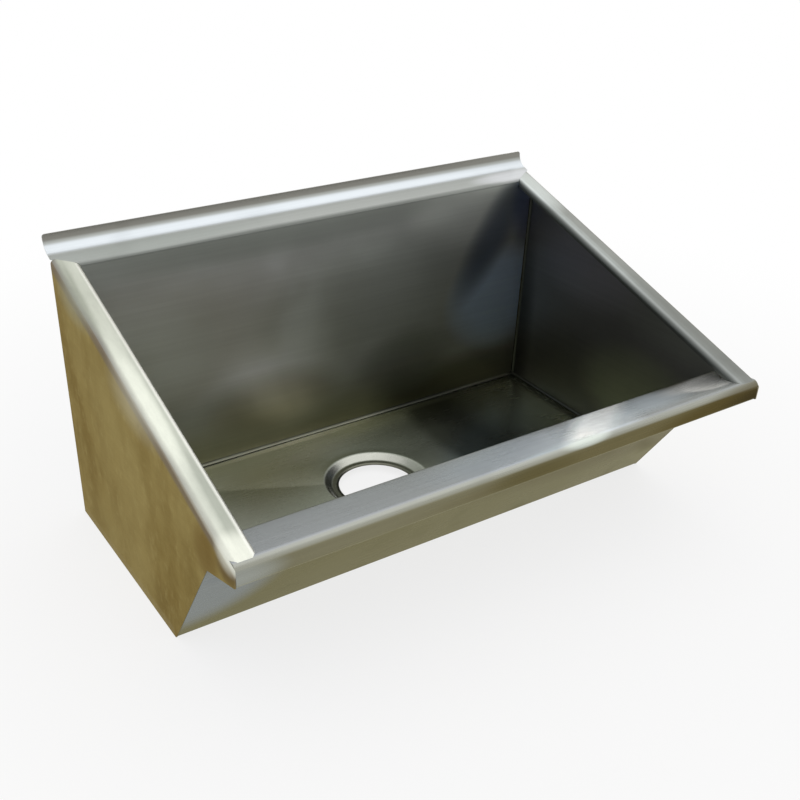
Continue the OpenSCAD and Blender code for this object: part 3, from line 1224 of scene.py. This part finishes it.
# Painted light and shade on the right end panel.
RIGHT_END_LIGHT_AND_SHADE = (
    # Painted shade and painted reflections on its wall inside the bowl, darkest by the rear
    # corner.
    InnerWallShade(linear(98, 98, 98)),
    on_right(50, 215, 120, 75, linear(126, 124, 132), 0.9),
    on_right(70, 60, 130, 95, linear(78, 79, 70), 0.85),
    on_right(-50, 85, 120, 75, linear(138, 143, 118), 0.75),
    on_right(163, 80, 34, 200, linear(48, 49, 48), 0.95),
    # Rim: a painted highlight on its inner fold, a darker painted reflection on its front part, a
    # painted highlight at its rear and painted shade on its return.
    Band((281.5, 165, 289.2), (281.5, -192, 170), 5, linear(178, 184, 182), 0.75),
    Wash((287, -120, 190), (18, 190, 80), linear(132, 135, 132), 0.8),
    Wash((287, 150, 285), (18, 70, 40), linear(214, 220, 218), 0.8),
    Band((275, 165, 283), (275, -192, 163), 7, linear(80, 84, 82), 0.95),
)
# Painted light and shade on the back panel.
BACK_LIGHT_AND_SHADE = (
    # Bowl face: painted reflections and shade, darker low down and towards the right, lighter
    # above, bluish by the right corner.
    on_back(-20, 15, 420, 92, linear(120, 120, 84), 0.9),
    on_back(150, 20, 110, 75, linear(84, 86, 62), 0.85),
    on_back(250, 32, 120, 60, linear(98, 98, 78), 0.9),
    on_back(-150, 180, 400, 95, linear(203, 205, 204), 1.0, 0.2),
    on_back(80, 175, 210, 105, linear(196, 202, 196), 0.95, 0.1),
    on_back(-225, 175, 110, 75, linear(226, 232, 236), 0.9),
    on_back(210, 280, 120, 80, linear(218, 223, 216), 0.9, 0.2),
    on_back(264, 142, 100, 80, linear(208, 230, 255), 1.0, 0.15),
    on_back(-60, 292, 380, 40, linear(140, 144, 138), 0.9, 0.1),
    SlantReflection((243, BOWL_FACE, 226), 115, 36, 58, linear(92, 104, 122), 0.85),
    on_back(295, 262, 34, 72, linear(92, 106, 150), 0.8),
    on_back(-68, 84, 110, 48, linear(116, 110, 74), 0.65),
    on_back(120, 85, 85, 55, linear(120, 124, 112), 0.6),
    # Painted shade along the wall's top fold, painted reflections on the shelf, a painted
    # highlight in the cove and a painted reflection on the upstand.
    Band((-275, 164, 289), (275, 164, 289), 5, linear(118, 121, 117), 0.8),
    Wash((-200, 175, 292), (160, 14, 9), linear(160, 165, 160), 0.8),
    Wash((270, 175, 292), (70, 14, 9), linear(215, 217, 219), 0.9),
    Wash((0, 190, 298.5), (2000, 9, 6.5), linear(215, 221, 225), 1.0, 0.15),
    Wash((0, 196, 311), (2000, 8, 7), linear(134, 133, 126), 1.0, 0.3),
)
# Painted light and shade on the front panel.
FRONT_LIGHT_AND_SHADE = (
    # Front wall: painted reflections, olive, dark brown to the right and bluish to the left.
    Wash((0, -115, 70), (2000, 90, 105), linear(98, 92, 58), 1.0, 0.8),
    Wash((330, -120, 120), (430, 75, 110), linear(72, 60, 22), 0.9, 0.3),
    Wash((-300, -110, 80), (100, 70, 90), linear(126, 135, 150), 1.0, 0.2),
    # Ledge: bluish painted reflections and painted highlights across its middle and at its right
    # end.
    Wash((20, -176, 166), (150, 40, 12), linear(168, 177, 188), 0.7),
    Wash((165, -166, 166), (90, 26, 12), linear(192, 202, 212), 0.85),
    Wash((320, -163, 166), (140, 22, 12), linear(255, 255, 255), 0.95, 0.2),
    Wash((262, -168, 168), (46, 18, 14), linear(255, 255, 255), 1.0, 0.5),
    Band((143, -135, 160), (50, -208, 168), 27, linear(250, 254, 255), 0.75),
    Band((144, -135, 160), (51, -208, 168), 18, linear(255, 255, 255), 1.0),
    Wash((108, -172, 167), (44, 60, 20), linear(236, 246, 255), 0.4),
    Wash((45, -190, 171), (70, 7, 5), linear(186, 200, 204), 0.3),
    # Lip face: painted reflections and shade, olive to brown and darker to the right, lighter at
    # its left end.
    on_lip(0, 154, 2000, 22, linear(124, 120, 96), 1.0, 0.6),
    on_lip(420, 154, 640, 22, linear(106, 98, 68), 1.0, 0.45),
    on_lip(0, 157, 70, 16, linear(90, 82, 50), 0.75),
    on_lip(400, 152, 300, 26, linear(82, 70, 36), 1.0, 0.5),
    on_lip(400, 152, 190, 26, linear(42, 30, 6), 1.0, 0.3),
    on_lip(-300, 158, 60, 20, linear(158, 162, 156), 0.9),
    # Lip fold: a painted highlight, with a brighter spot and darker to the right.
    Wash((0, -196.5, 169), (2000, 6, 5), linear(160, 161, 150), 0.9),
    Wash((66, -195, 169.5), (34, 8, 6), linear(215, 224, 216), 0.75),
    Wash((340, -198, 168), (130, 9, 7), linear(104, 97, 76), 0.85),
)
# Painted light and shade on the creased floor.
FLOOR_LIGHT_AND_SHADE = (
    # Painted reflections, lighter and darker fields across the floor, and painted light along the
    # rear seam.
    Wash((-70, 150, 20), (215, 42, 30), linear(194, 194, 190), 0.8),
    Band((-290, 160, 23), (60, 160, 23), 7, linear(255, 250, 252), 0.6, 0.3),
    Wash((60, 95, 18), (118, 75, 30), linear(132, 135, 124), 0.85),
    Wash((80, 160, 22), (110, 32, 30), linear(176, 178, 162), 0.7),
    Wash((330, 82, 18), (236, 300, 30), linear(98, 100, 88), 0.97, 0.8),
    Wash((365, 118, 18), (205, 260, 30), linear(240, 243, 212), 0.95, 0.1),
    Band((100, 158, 23), (290, 158, 23), 9, linear(158, 160, 146), 0.7),
    # A lighter painted reflection above the crease to the rear left corner, a painted highlight on
    # the recess wall and painted shade on its seat.
    Sector((0, 46), 140, 158.3, 16, 0.8, linear(196, 197, 184), 0.75),
    Wash((0, 46, 12), (64, 64, 20), linear(186, 187, 178), 1.0, 0.9),
    Wash((0, 46, 12), (53.5, 53.5, 20), linear(112, 112, 100), 1.0, 0.9),
)


@dataclass
class Trough:
    """The whole trough, piece by piece."""

    sizes: Sizes = field(default_factory=Sizes)

    def finishes(self) -> dict[str, BrushedSheet]:
        """Lists the finish of every sheet piece.

        Returns:
            The finishes by CAD node.
        """
        back = BrushedSheet("back sheet", STEEL, roughness=0.34, painted_light=BACK_LIGHT_AND_SHADE, metal=0.92)
        front = BrushedSheet("front sheet", LEDGE, roughness=0.27, painted_light=FRONT_LIGHT_AND_SHADE,
                             edge_tint=FRONT_TINT, metal=0.92)
        left = BrushedSheet("left end sheet", LIT_END_STEEL, Grain.DEPTH, 0.42, painted_light=LEFT_END_LIGHT_AND_SHADE,
                            warm_reflection=GOLD_REFLECTION, edge_tint=END_TINT, metal=0.94)
        right = BrushedSheet("right end sheet", SHADED_END_STEEL, Grain.DEPTH, 0.44,
                             painted_light=RIGHT_END_LIGHT_AND_SHADE, warm_reflection=GOLD_REFLECTION, edge_tint=END_TINT, metal=0.96)
        hanger = BrushedSheet("hanger", MILL, roughness=0.38, streaks=0.14, smudges=0.4)
        found = {"back_panel": back, "front_panel": front, "left_end_panel": left,
                 "right_end_panel": right}
        rails = ("hook_rail", "wall_rail", "left_spacer", "right_spacer")
        return found | {node: hanger for node in rails}

    def build(self) -> None:
        """Builds and dresses all the pieces."""
        slots = {item["node"]: item["material_slot"] for item in frame["record"]["subparts"]}
        for node, finish in self.finishes().items():
            Skin(node, slots[node], finish).build()
        floor = BrushedSheet("floor sheet", PAN, roughness=0.26, painted_light=FLOOR_LIGHT_AND_SHADE)
        FloorPan(self.sizes, floor).build()
        weld = WeldMetal()
        SeamWelds(self.sizes, weld).build()
        SpotWelds(self.sizes, weld).build()


def main() -> None:
    """Builds the looks in order."""
    logging.basicConfig(level=logging.INFO)
    Trough().build()
    Studio().build()


if __name__ == "__main__":
    main()
